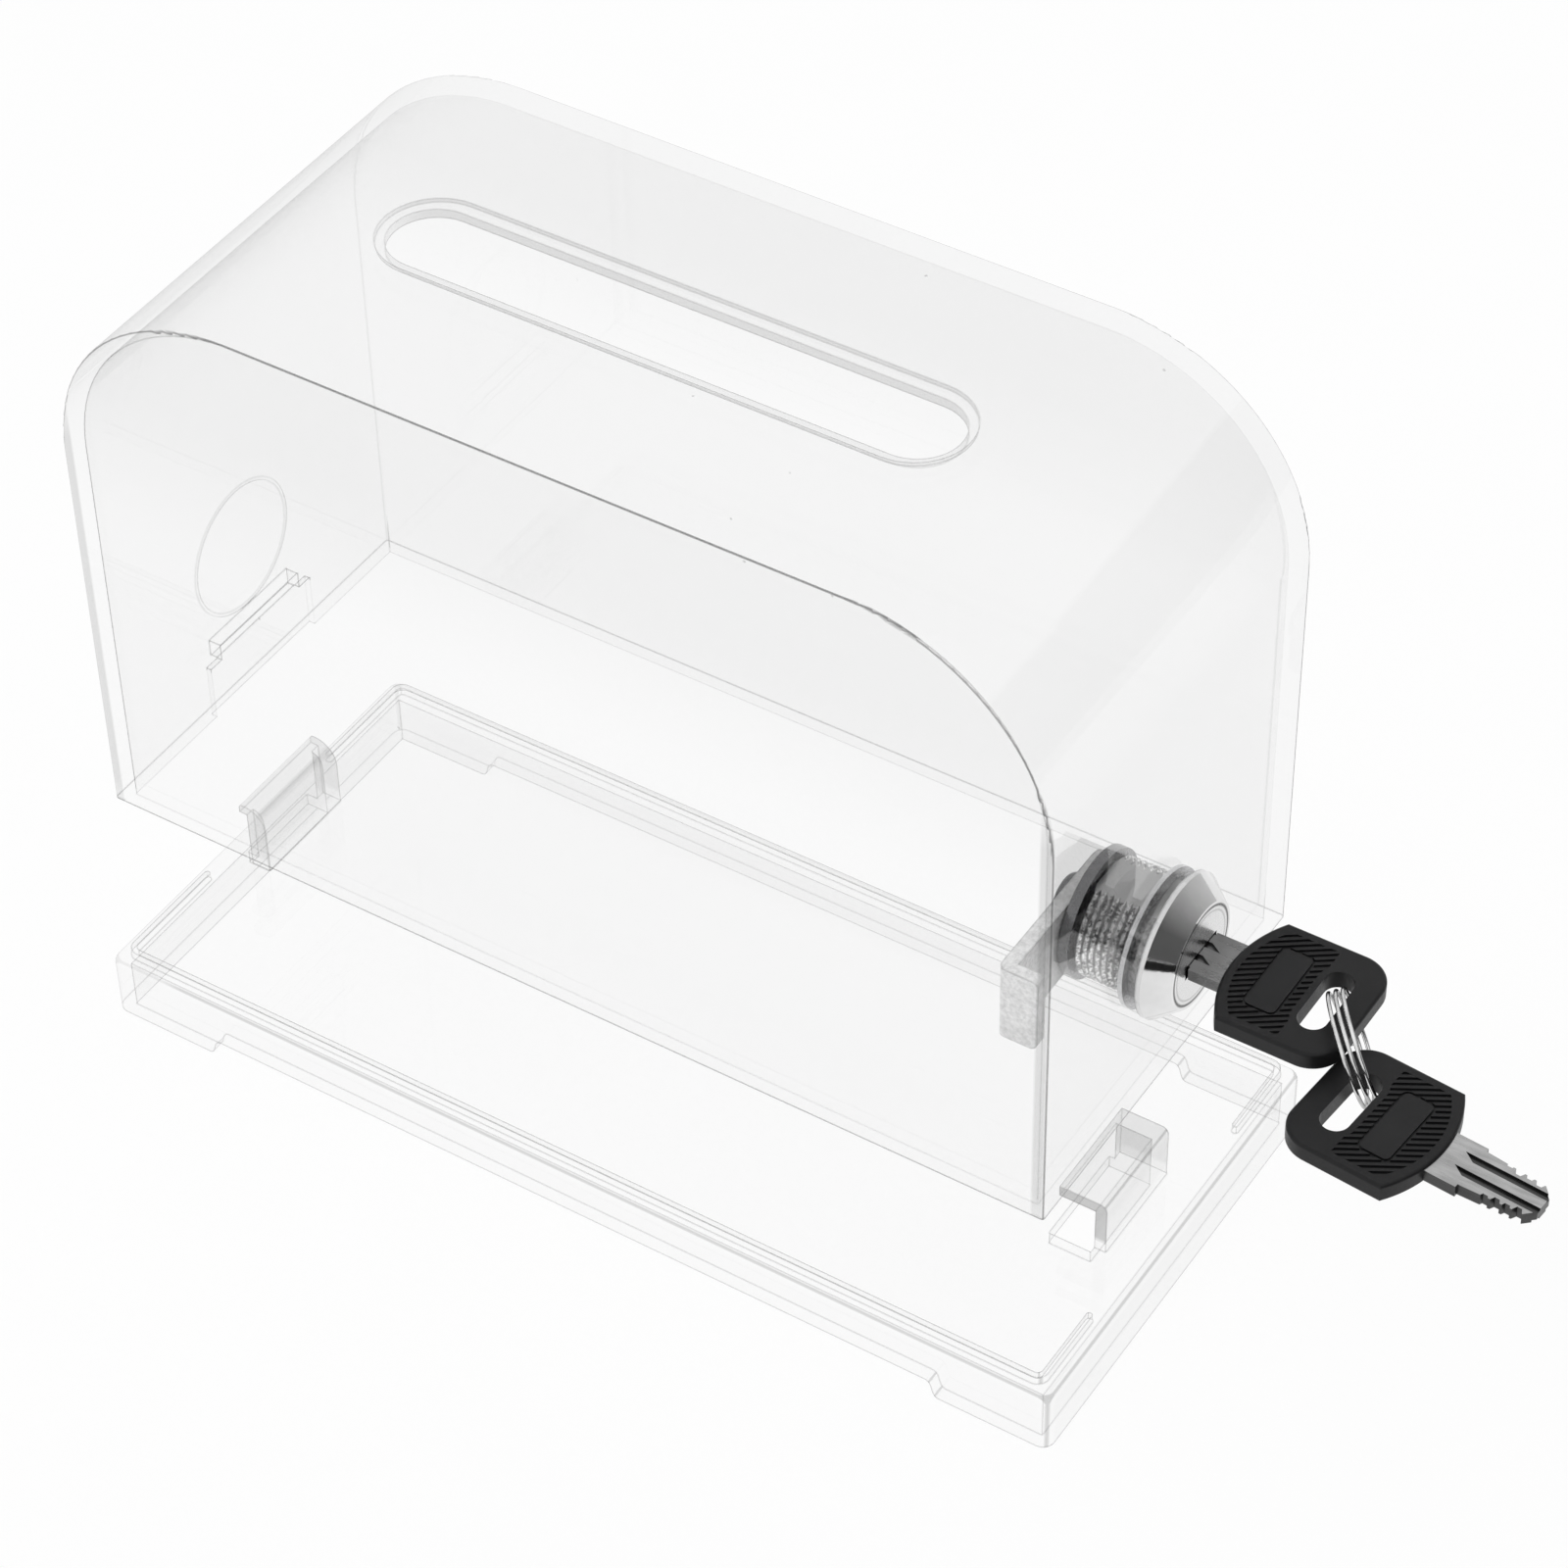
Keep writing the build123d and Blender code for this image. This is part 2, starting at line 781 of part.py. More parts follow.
def ring_tangent(quarter):
    angle = math.radians(ring_start_angle + 90 * quarter)
    return Vector(-math.sin(angle), math.cos(angle), 0)


def biarc(start, start_dir, end, end_dir):
    chord = end - start
    total = start_dir + end_dir
    square = 2 * (1 - start_dir.dot(end_dir))
    along = chord.dot(total)
    reach = (math.sqrt(along ** 2 + square * chord.dot(chord)) - along) / square
    middle = (start + end + (start_dir - end_dir) * reach) / 2
    return [TangentArc(start, middle, tangent=start_dir), TangentArc(end, middle, tangent=-end_dir)]


def ring_edges():
    edges = []
    for quarter in range(round(4 * ring_turns)):
        ends = (ring_point(quarter), ring_tangent(quarter))
        ends += (ring_point(quarter + 1), ring_tangent(quarter + 1))
        edges += biarc(*ends)
    return edges


def ring_gap():
    samples = 9
    places = []
    for number, edge in enumerate(ring_edges()):
        along = [step / samples for step in range(samples)]
        places += [edge @ (step if number % 2 == 0 else 1 - step) for step in along]
    apart = 4 * samples
    least = 2 * ring_radius
    for number, place in enumerate(places):
        for other in places[number + apart:]:
            least = min(least, (place - other).length)
    return least - 2 * ring_wire_radius


def split_ring():
    path = Wire(ring_edges())
    start = Plane(ring_point(0), z_dir=ring_tangent(0))
    coil = sweep(start * Circle(ring_wire_radius), path)
    return ring_plane().location * coil


def at_lock(shape):
    return Pos(0, 0, lock_z) * shape


def at_lock_all(shapes):
    return Compound(children=[at_lock(shape) for shape in shapes])


save("base_tray", base_tray())
save("cover_shell", cover_shell())
save("lock_housing", at_lock(lock_housing()))
save("fixing_ring", at_lock(fixing_ring()))
save("lock_plug", at_lock(lock_plug()))
save("wafer_tumblers", at_lock_all(wafers()))
save("wafer_springs", at_lock_all(wafer_springs()))
save("plug_retainer", at_lock(retainer()))
save("stop_washer", at_lock(stop_washer()))
save("cam_hook", at_lock(cam_hook()))
save("cam_washer", at_lock(cam_washer()))
save("cam_screw", at_lock(cam_screw()))
save("key_1_head", key_1_place(key_head()))
save("key_1_blade", key_1_place(key_blade()))
save("key_2_head", key_2_place(key_head()))
save("key_2_blade", key_2_place(key_blade()))
save("split_ring", split_ring())
print("least gap between the turns of the ring", round(ring_gap(), 3), "mm")
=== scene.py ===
import math
import bpy
from mathutils import Matrix, Vector


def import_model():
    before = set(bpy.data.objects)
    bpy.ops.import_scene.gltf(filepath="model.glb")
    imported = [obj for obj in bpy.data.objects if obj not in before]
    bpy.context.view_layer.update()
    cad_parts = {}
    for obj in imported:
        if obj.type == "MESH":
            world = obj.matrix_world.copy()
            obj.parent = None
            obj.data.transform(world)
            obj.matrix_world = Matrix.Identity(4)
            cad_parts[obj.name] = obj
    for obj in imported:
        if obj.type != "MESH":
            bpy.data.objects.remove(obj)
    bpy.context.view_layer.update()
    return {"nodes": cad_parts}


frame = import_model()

NODES = frame["nodes"]

# Zones of the cover in metres, where its painted shade is laid or eased: start and end along x, y or z
REAR_WALL_Y = (0.027, 0.030)
LEFT_ROUND_X = (-0.052, -0.045)
RIGHT_ROUND_X = (0.02, 0.06)
UPPER_PART_Z = (0.10, 0.125)
ABOVE_RIM_Z = (0.048, 0.052)
RIM_Z = (0.0449, 0.0454)
SILL_Y = (-0.0338, -0.0334)
LOCK_END_X = (0.07, 0.075)
INSIDE_X = (-0.0789, 0.0789)
INSIDE_Y = (-0.0334, 0.0334)
INSIDE_Z = (0.0454, 0.12)
SLOT_X = (-0.050, 0.050)
SLOT_Y = (-0.0105, 0.0105)
SLOT_Z = (0.1385, 0.1445)
SLOT_REAR_Y = (0.002, 0.02)
LEFT_WALL_X = (-0.0815, -0.0760)
MARK_Y = (-0.020, 0.020)
WALL_SLOT_Z = (0.0445, 0.0532)
ROUND_MARK_Z = (0.0570, 0.085)
FRONT_FACE_Y = (-0.036, -0.0340)
FRONT_FACE_Z = (0.0445, 0.118)
RIGHT_CORNER_X = (0.0780, 0.0797)
LEFT_CORNER_X = (-0.0797, -0.0783)
OUTER_FACE_SQUARED = (0.00093, 0.00098)

# Zones of the base, where its painted shade is laid or eased
FAR_END_X = (-0.074, -0.070)
STANDING_Z = (0.0125, 0.0135)
CATCH_X = (0.05, 0.06)
CATCH_FRONT_Y = (-0.009, -0.0085)

# The lock, along its axis and out from it
LOCK_HEIGHT = 0.0681
THREAD_X = (0.0696, 0.0776)
THREAD_PITCH = 0.001
BEZEL_X = (0.0797, 0.0803)
PAINTED_LIGHT_BELOW_Z = (LOCK_HEIGHT - 0.0075, LOCK_HEIGHT - 0.0035)
PLUG_JOINT_RADIUS = 0.00775
FACE_GROOVE = (0.0066, 0.0069)
FACE_RIM = (0.0072, 0.0074)
CAM_SHADE_Y = (-0.0115, -0.0075)
CAM_SHADE_Z = (0.069, 0.073)

# The key blades: where the middle of each one lies, and how far off it the grooves and edges reach,
# which bounds their painted shade
BLADE_1_PLACE = (0.1034, 0, 0.0681)
BLADE_2_PLACE = (0.1136, -0.0117, 0.0645)
BLADE_2_YAW = math.radians(-5)
BLADE_HALF = 0.00093

PLASTIC_IOR = 1.49
EDGE_RADIUS = 0.0005
DEEPEST_LAYER = (6.2, 6.8)


# Node helpers
class Tree:
    """A node tree whose sockets take a plain value or another node's output."""

    def __init__(self, tree):
        self.tree = tree
        self.tree.nodes.clear()

    def add(self, kind, **inputs):
        node = self.tree.nodes.new(kind)
        for name, value in inputs.items():
            self.put(node.inputs[name.replace("_", " ")], value)
        return node

    def put(self, socket, value):
        if isinstance(value, bpy.types.NodeSocket):
            self.tree.links.new(value, socket)
        else:
            socket.default_value = value


def new_material(name):
    material = bpy.data.materials.new(name)
    material.use_nodes = True
    return material, Tree(material.node_tree)


def finish_surface(tree, shader):
    tree.add("ShaderNodeOutputMaterial", Surface=shader)


def noise(tree, scale, detail=3.0, roughness=0.5, stretch=(1, 1, 1)):
    coords = tree.add("ShaderNodeTexCoord")
    mapping = tree.add("ShaderNodeMapping", Vector=coords.outputs["Object"], Scale=stretch)
    texture = tree.add("ShaderNodeTexNoise", Vector=mapping.outputs["Vector"],
                       Scale=scale, Detail=detail, Roughness=roughness)
    return texture.outputs["Fac"]


def spread(tree, value, low, high, start=0.3, end=0.7):
    node = tree.add("ShaderNodeMapRange", Value=value, From_Min=start, From_Max=end,
                    To_Min=low, To_Max=high)
    return node.outputs["Result"]


def rises(tree, value, start, end):
    return spread(tree, value, 0.0, 1.0, start, end)


def falls(tree, value, start, end):
    return spread(tree, value, 1.0, 0.0, start, end)


def shade(tree, value, dark, light, start=0.3, end=0.7):
    ramp = tree.add("ShaderNodeValToRGB", Fac=value)
    first, last = ramp.color_ramp.elements
    first.position, first.color = start, (*dark, 1)
    last.position, last.color = end, (*light, 1)
    return ramp.outputs["Color"]


def bump(tree, value, strength, distance, below=None):
    node = tree.add("ShaderNodeBump", Height=value, Strength=strength, Distance=distance)
    if below is not None:
        tree.put(node.inputs["Normal"], below)
    return node.outputs["Normal"]


def math_node(tree, operation, first, second=None):
    node = tree.add("ShaderNodeMath")
    node.operation = operation
    tree.put(node.inputs[0], first)
    if second is not None:
        tree.put(node.inputs[1], second)
    return node.outputs[0]


def times(tree, first, *more):
    for value in more:
        first = math_node(tree, "MULTIPLY", first, value)
    return first


def square(tree, value):
    return times(tree, value, value)


def band(tree, value, low, high, soft=0.0001):
    rise = rises(tree, value, low - soft, low + soft)
    fall = falls(tree, value, high - soft, high + soft)
    return times(tree, rise, fall)


def darken(tree, value, factor, amount):
    kept = math_node(tree, "SUBTRACT", 1.0, math_node(tree, "MULTIPLY", factor, amount))
    return times(tree, value, kept)


def split(tree, source):
    node = tree.add("ShaderNodeSeparateXYZ", Vector=source)
    return node.outputs["X"], node.outputs["Y"], node.outputs["Z"]


def mix_shaders(tree, factor, first, second):
    node = tree.add("ShaderNodeMixShader", Fac=factor)
    tree.put(node.inputs[1], first)
    tree.put(node.inputs[2], second)
    return node.outputs["Shader"]


def edge_share(tree, radius, start, end):
    """1 along the edges of a piece and 0 on its faces."""
    bevel = tree.add("ShaderNodeBevel", Radius=radius)
    bevel.samples = 4
    geometry = tree.add("ShaderNodeNewGeometry")
    dot = tree.add("ShaderNodeVectorMath")
    dot.operation = "DOT_PRODUCT"
    tree.put(dot.inputs[0], bevel.outputs["Normal"])
    tree.put(dot.inputs[1], geometry.outputs["Normal"])
    return spread(tree, dot.outputs["Value"], 1.0, 0.0, start, end)


def beyond_camera(tree):
    """1 for rays that should meet the pale background: camera, glossy and transmission rays."""
    path = tree.add("ShaderNodeLightPath")
    total = math_node(tree, "MAXIMUM", path.outputs["Is Camera Ray"], path.outputs["Is Glossy Ray"])
    return math_node(tree, "MAXIMUM", total, path.outputs["Is Transmission Ray"])


def metal_shader(tree):
    return tree.add("ShaderNodeBsdfPrincipled", Metallic=1.0)


# Clear plastic
def cover_edges(tree, painted_edge_shade, place):
    """The share of each painted edge shade line that shows: less in the rear, inside and around the
    slots.
    """
    x, y, z = place
    rear = times(tree, rises(tree, y, *REAR_WALL_Y), rises(tree, z, *ABOVE_RIM_Z))
    painted_edge_shade = darken(tree, painted_edge_shade, rear, 0.97)
    within = times(tree, band(tree, x, *INSIDE_X), band(tree, y, *INSIDE_Y))
    painted_edge_shade = darken(tree, painted_edge_shade, times(tree, within, falls(tree, z, *RIM_Z)), 0.6)
    upright = times(tree, within, band(tree, z, *INSIDE_Z, 0.002), rises(tree, x, *LOCK_END_X))
    painted_edge_shade = darken(tree, painted_edge_shade, upright, 0.45)
    mouth = times(tree, band(tree, x, *SLOT_X), band(tree, y, *SLOT_Y), band(tree, z, *SLOT_Z))
    painted_edge_shade = darken(tree, painted_edge_shade, mouth, 0.5)
    wall = times(tree, band(tree, x, *LEFT_WALL_X), band(tree, y, *MARK_Y))
    painted_edge_shade = darken(tree, painted_edge_shade, times(tree, wall, band(tree, z, *WALL_SLOT_Z)), 0.85)
    painted_edge_shade = darken(tree, painted_edge_shade, times(tree, wall, band(tree, z, *ROUND_MARK_Z)), 0.68)
    return painted_edge_shade, mouth


def cover_painted_shade(tree, value, painted_edge_shade, place, normal):
    """Painted shade in the cover's tint: grey of the edges, the rounded edges, the upper part, the
    ballot slot's walls and the two front corners.
    """
    x, y, z = place
    # Painted shade along the rounded edges of the front and rear faces, eased at the far left rear.
    side = square(tree, normal[1])
    outer = rises(tree, square(tree, y), *OUTER_FACE_SQUARED)
    fillet = times(tree, side, math_node(tree, "SUBTRACT", 1.0, side), 4.0, outer)
    far_left = times(tree, rises(tree, y, *REAR_WALL_Y), falls(tree, x, *LEFT_ROUND_X))
    fillet = darken(tree, rises(tree, fillet, 0.45, 1.0), far_left, 0.8)
    value = darken(tree, value, fillet, 0.62)
    # Painted shade: the upper part a touch darker, a little more on its front and rear faces.
    upper = rises(tree, z, *UPPER_PART_Z)
    value = darken(tree, value, upper, 0.010)
    value = darken(tree, value, times(tree, upper, side), 0.018)
    # More painted shade on the rounded edges at the far right rear.
    far_right = times(tree, rises(tree, y, *REAR_WALL_Y), rises(tree, x, *RIGHT_ROUND_X))
    value = darken(tree, value, times(tree, fillet, far_right), 0.6)
    painted_edge_shade, mouth = cover_edges(tree, painted_edge_shade, place)
    # Painted shade: the edge lines darken the tint.
    value = darken(tree, value, painted_edge_shade, 0.62)
    # Painted shade on the upright walls of the ballot slot, most on its rear wall.
    mouth_wall = times(tree, mouth, falls(tree, square(tree, normal[2]), 0.05, 0.15))
    rear_side = times(tree, mouth_wall, band(tree, y, *SLOT_REAR_Y, 0.003))
    value = darken(tree, value, rear_side, 0.14)
    value = darken(tree, value, mouth_wall, 0.04)
    # Painted shade: thin dark stripes down the two front corners.
    front = times(tree, band(tree, y, *FRONT_FACE_Y), band(tree, z, *FRONT_FACE_Z, 0.004))
    for corner in (RIGHT_CORNER_X, LEFT_CORNER_X):
        value = darken(tree, value, times(tree, front, band(tree, x, *corner, 0.0002)), 0.22)
    # Painted shade: the edge lines at the front foot of the cover are darker.
    sill = times(tree, falls(tree, y, *SILL_Y), falls(tree, z, *RIM_Z))
    return darken(tree, value, times(tree, painted_edge_shade, sill), 0.4)


def base_painted_shade(tree, value, painted_edge_shade, place, normal):
    """Painted shade in the tray's tint: grey of its edges and rounded edges, and of the catch and hook
    that stand on it.
    """
    x, y, z = place
    # Painted shade along the edge lines.
    value = darken(tree, value, painted_edge_shade, 0.42)
    # Painted shade on the rounded edges, eased at the far end.
    nx, ny, nz = (square(tree, part) for part in normal)
    pairs = math_node(tree, "ADD", times(tree, nx, ny), times(tree, nz, math_node(tree, "ADD", nx, ny)))
    rounds = rises(tree, times(tree, pairs, 4.0), 0.8, 1.0)
    value = darken(tree, value, darken(tree, rounds, falls(tree, x, *FAR_END_X), 0.6), 0.3)
    # Painted shade on the catch and hook: a touch on all of them, more on their end faces, most on the
    # front of the catch.
    standing = rises(tree, z, *STANDING_Z)
    ends = rises(tree, ny, 0.5, 0.8)
    value = darken(tree, value, times(tree, standing, ends), 0.07)
    front = times(tree, rises(tree, x, *CATCH_X), falls(tree, y, *CATCH_FRONT_Y))
    value = darken(tree, value, times(tree, standing, ends, front), 0.3)
    return darken(tree, value, standing, 0.05)


def specks(tree):
    """Sparse dust and nicks, each a fraction of a millimetre."""
    coords = tree.add("ShaderNodeTexCoord")
    cells = tree.add("ShaderNodeTexVoronoi", Vector=coords.outputs["Object"], Scale=85.0)
    near = falls(tree, cells.outputs["Distance"], 0.014, 0.026)
    chosen = rises(tree, split(tree, cells.outputs["Color"])[0], 0.72, 0.76)
    return times(tree, near, chosen)


def clear_plastic(name, painted_shade):
    """See-through plastic with fine scuffs, gloss by its own IOR, and painted shade in its tint: edges
    drawn a little darker, plus the greys laid by the given function.
    """
    material, tree = new_material(name)
    scuffs = noise(tree, 900.0, 5.0, 0.65)
    waves = noise(tree, 26.0, 1.5, 0.4)
    normal = bump(tree, waves, 0.05, 0.0006)
    coords = tree.add("ShaderNodeTexCoord")
    # The tint: scuffs and dust dull it a little, then painted shade is laid into it.
    haze_and_painted_shade = darken(tree, spread(tree, scuffs, 0.994, 0.999, 0.5, 0.75), specks(tree), 0.3)
    # Painted shade: a darker line along every edge.
    painted_edge_shade = edge_share(tree, EDGE_RADIUS, 0.80, 0.96)
    place, facing = split(tree, coords.outputs["Object"]), split(tree, coords.outputs["Normal"])
    # Painted shade from the given function, laid into the tint.
    haze_and_painted_shade = painted_shade(tree, haze_and_painted_shade, painted_edge_shade, place, facing)
    clear = tree.add("ShaderNodeBsdfTransparent", Color=haze_and_painted_shade)
    dull = spread(tree, scuffs, 0.02, 0.06, 0.5, 0.75)
    gloss = tree.add("ShaderNodeBsdfGlossy", Roughness=dull, Normal=normal)
    geometry = tree.add("ShaderNodeNewGeometry")
    ior = spread(tree, geometry.outputs["Backfacing"], PLASTIC_IOR, 1 / PLASTIC_IOR, 0, 1)
    fresnel = tree.add("ShaderNodeFresnel", IOR=ior, Normal=normal)
    shine = mix_shaders(tree, fresnel.outputs[0], clear.outputs["BSDF"], gloss.outputs["BSDF"])
    path = tree.add("ShaderNodeLightPath")
    # Painted glow: from a see-through depth of about seven layers the plastic emits near-white light in
    # place of the background behind it.
    painted_background_glow = tree.add("ShaderNodeEmission", Color=(0.97, 0.97, 0.97, 1))
    deep = rises(tree, path.outputs["Transparent Depth"], *DEEPEST_LAYER)
    shine = mix_shaders(tree, deep, shine, painted_background_glow.outputs["Emission"])
    shadow = tree.add("ShaderNodeBsdfTransparent", Color=(0.985, 0.985, 0.985, 1))
    through = math_node(tree, "MAXIMUM", path.outputs["Is Shadow Ray"], path.outputs["Is Diffuse Ray"])
    finish_surface(tree, mix_shaders(tree, through, shine, shadow.outputs["BSDF"]))
    return material


# Metals
def metal(name, color, low, high, scale, strength=0.15):
    """Worked metal with a cloudy tone and a fine grain; low and high bound its roughness."""
    material, tree = new_material(name)
    shader = metal_shader(tree)
    tone = noise(tree, scale, 4.0, 0.6)
    darker = tuple(c * 0.86 for c in color)
    tree.put(shader.inputs["Base Color"], shade(tree, tone, darker, color))
    tree.put(shader.inputs["Roughness"], spread(tree, tone, low, high))
    fine = noise(tree, scale * 6, 3.0, 0.7)
    tree.put(shader.inputs["Normal"], bump(tree, fine, strength, 0.00002))
    finish_surface(tree, shader.outputs["BSDF"])
    return material


def axis_distance(tree, y, z):
    """Distance from the lock's axis."""
    up = math_node(tree, "SUBTRACT", z, LOCK_HEIGHT)
    return math_node(tree, "SQRT", math_node(tree, "ADD", square(tree, y), square(tree, up)))


def barrel_tone_and_painted_light(tree, coords, x, z, fine):
    """Dark cast barrel with painted highlights: bright thread crests, and painted light on its flats and
    low on its side.
    """
    cast = spread(tree, fine, 0.05, 0.26, 0.35, 0.62)
    # Painted highlight: bright glints on the thread crests.
    along = math_node(tree, "SUBTRACT", x, THREAD_X[0])
    turns = math_node(tree, "FRACT", math_node(tree, "DIVIDE", along, THREAD_PITCH))
    crest = times(tree, band(tree, turns, 0.05, 0.5, 0.08), band(tree, x, *THREAD_X))
    glints = spread(tree, fine, 0.05, 0.9, 0.42, 0.62)
    cast = math_node(tree, "ADD", cast, times(tree, crest, glints))
    # Painted light: the flat faces are paler.
    painted_flat_light = rises(tree, square(tree, split(tree, coords.outputs["Normal"])[2]), 0.94, 0.98)
    cast = math_node(tree, "ADD", times(tree, cast, falls(tree, painted_flat_light, 0, 1)), times(tree, painted_flat_light, 0.36))
    # Painted light: paler low on the barrel's side.
    pale = times(tree, falls(tree, z, *PAINTED_LIGHT_BELOW_Z), spread(tree, fine, 0.42, 0.62))
    return math_node(tree, "MAXIMUM", cast, pale)


def lock_chrome():
    """Polished bezel with a fine dark joint round the plug, and a duller threaded barrel that carries
    painted highlights.
    """
    material, tree = new_material("lock_bezel_and_barrel")
    shader = metal_shader(tree)
    coords = tree.add("ShaderNodeTexCoord")
    x, y, z = split(tree, coords.outputs["Object"])
    front = rises(tree, x, *BEZEL_X)
    fine = noise(tree, 1500.0, 5.0, 0.7)
    soft = noise(tree, 160.0, 3.0, 0.5)
    joint = band(tree, axis_distance(tree, y, z), 0.0, PLUG_JOINT_RADIUS)
    plate = darken(tree, spread(tree, soft, 0.68, 0.78), joint, 0.8)
    tone = tree.add("ShaderNodeMix")
    tree.put(tone.inputs[0], front)
    tree.put(tone.inputs[2], barrel_tone_and_painted_light(tree, coords, x, z, fine))
    tree.put(tone.inputs[3], plate)
    tree.put(shader.inputs["Base Color"], tone.outputs[0])
    tree.put(shader.inputs["Roughness"], spread(tree, front, 0.3, 0.07, 0, 1))
    tree.put(shader.inputs["Normal"], bump(tree, fine, 0.15, 0.00004))
    finish_surface(tree, shader.outputs["BSDF"])
    return material


def lock_face():
    """Satin disc of the plug with a bright turned rim and a dark joint line."""
    material, tree = new_material("lock_face_satin")
    shader = metal_shader(tree)
    coords = tree.add("ShaderNodeTexCoord")
    y, z = split(tree, coords.outputs["Object"])[1:]
    fine = noise(tree, 1100.0, 4.0, 0.6)
    radius = axis_distance(tree, y, z)
    tone = darken(tree, spread(tree, fine, 0.72, 0.77), band(tree, radius, *FACE_GROOVE), 0.3)
    tone = darken(tree, tone, rises(tree, radius, *FACE_RIM), 0.75)
    tree.put(shader.inputs["Base Color"], tone)
    tree.put(shader.inputs["Roughness"], spread(tree, fine, 0.2, 0.32))
    tree.put(shader.inputs["Normal"], bump(tree, fine, 0.1, 0.00002))
    finish_surface(tree, shader.outputs["BSDF"])
    return material


def cast_zinc():
    """Rough light casting with darker edges, shaded where the cam passes behind the barrel."""
    material, tree = new_material("cast_zinc_rough")
    shader = tree.add("ShaderNodeBsdfPrincipled", Metallic=0.4)
    grain = noise(tree, 1400.0, 6.0, 0.75)
    blotch = noise(tree, 180.0, 3.0, 0.5)
    tone = darken(tree, spread(tree, grain, 0.64, 0.90, 0.35, 0.6), falls(tree, blotch, 0.35, 0.5), 0.12)
    coords = tree.add("ShaderNodeTexCoord")
    y, z = split(tree, coords.outputs["Object"])[1:]
    inner = times(tree, rises(tree, y, *CAM_SHADE_Y), spread(tree, z, 1.0, 0.35, *CAM_SHADE_Z))
    tone = darken(tree, darken(tree, tone, inner, 0.7), edge_share(tree, EDGE_RADIUS, 0.9, 0.99), 0.4)
    tree.put(shader.inputs["Base Color"], tone)
    tree.put(shader.inputs["Roughness"], spread(tree, blotch, 0.42, 0.62))
    rough = bump(tree, blotch, 0.3, 0.0003)
    tree.put(shader.inputs["Normal"], bump(tree, grain, 0.55, 0.00012, rough))
    finish_surface(tree, shader.outputs["BSDF"])
    return material


def blade_steel(name, low, high, place, yaw, shade_depth):
    """Satin steel with lengthwise marks; the milled grooves and the edges are darker as painted shade.
    """
    material, tree = new_material(name)
    shader = metal_shader(tree)
    coords = tree.add("ShaderNodeTexCoord")
    local = tree.add("ShaderNodeMapping")
    local.vector_type = "TEXTURE"
    tree.put(local.inputs["Location"], place)
    tree.put(local.inputs["Rotation"], (0, 0, yaw))
    tree.put(local.inputs["Vector"], coords.outputs["Object"])
    depth = split(tree, local.outputs["Vector"])[2]
    marks = noise(tree, 900.0, 4.0, 0.6, (0.15, 1, 1))
    clouds = noise(tree, 240.0, 2.0, 0.5)
    tone = darken(tree, spread(tree, marks, low, high), rises(tree, clouds, 0.3, 0.7), 0.15)
    # Painted shade on all within BLADE_HALF of the blade's middle plane: the groove floors and the
    # middle of its edges.
    tone = darken(tree, tone, band(tree, depth, -BLADE_HALF, BLADE_HALF, 0.00003), shade_depth)
    tree.put(shader.inputs["Base Color"], tone)
    tree.put(shader.inputs["Roughness"], spread(tree, marks, 0.22, 0.36))
    tree.put(shader.inputs["Normal"], bump(tree, marks, 0.2, 0.00002))
    finish_surface(tree, shader.outputs["BSDF"])
    return material


def ring_wire():
    """Bright drawn wire with painted light and shade by the way it faces: darker on its underside so
    that its turns read apart.
    """
    material, tree = new_material("ring_wire_bright")
    shader = metal_shader(tree)
    coords = tree.add("ShaderNodeTexCoord")
    y, z = split(tree, coords.outputs["Normal"])[1:]
    streaks = noise(tree, 420.0, 3.0, 0.6)
    # Painted light and shade: lighter facing up and toward -y, darker facing down and toward +y.
    tone = spread(tree, math_node(tree, "SUBTRACT", z, y), 0.06, 0.85, -0.2, 0.9)
    tree.put(shader.inputs["Base Color"], darken(tree, tone, rises(tree, streaks, 0.3, 0.7), 0.35))
    tree.put(shader.inputs["Roughness"], spread(tree, streaks, 0.08, 0.18))
    finish_surface(tree, shader.outputs["BSDF"])
    return material


def black_plastic():
    """Satin black moulding with a fine grain."""
    material, tree = new_material("black_plastic_satin")
    shader = tree.add("ShaderNodeBsdfPrincipled", Specular_IOR_Level=0.24)
    grain = noise(tree, 2600.0, 4.0, 0.6)
    cloud = noise(tree, 90.0, 2.0, 0.5)
    color = shade(tree, cloud, (0.006, 0.006, 0.0065), (0.010, 0.010, 0.0105))
    tree.put(shader.inputs["Base Color"], color)
    tree.put(shader.inputs["Roughness"], spread(tree, grain, 0.34, 0.46))
    tree.put(shader.inputs["Normal"], bump(tree, grain, 0.25, 0.00004))
    finish_surface(tree, shader.outputs["BSDF"])
    return material


def paint(node, material):
    obj = NODES[node]
    obj.data.materials.clear()
    obj.data.materials.append(material)


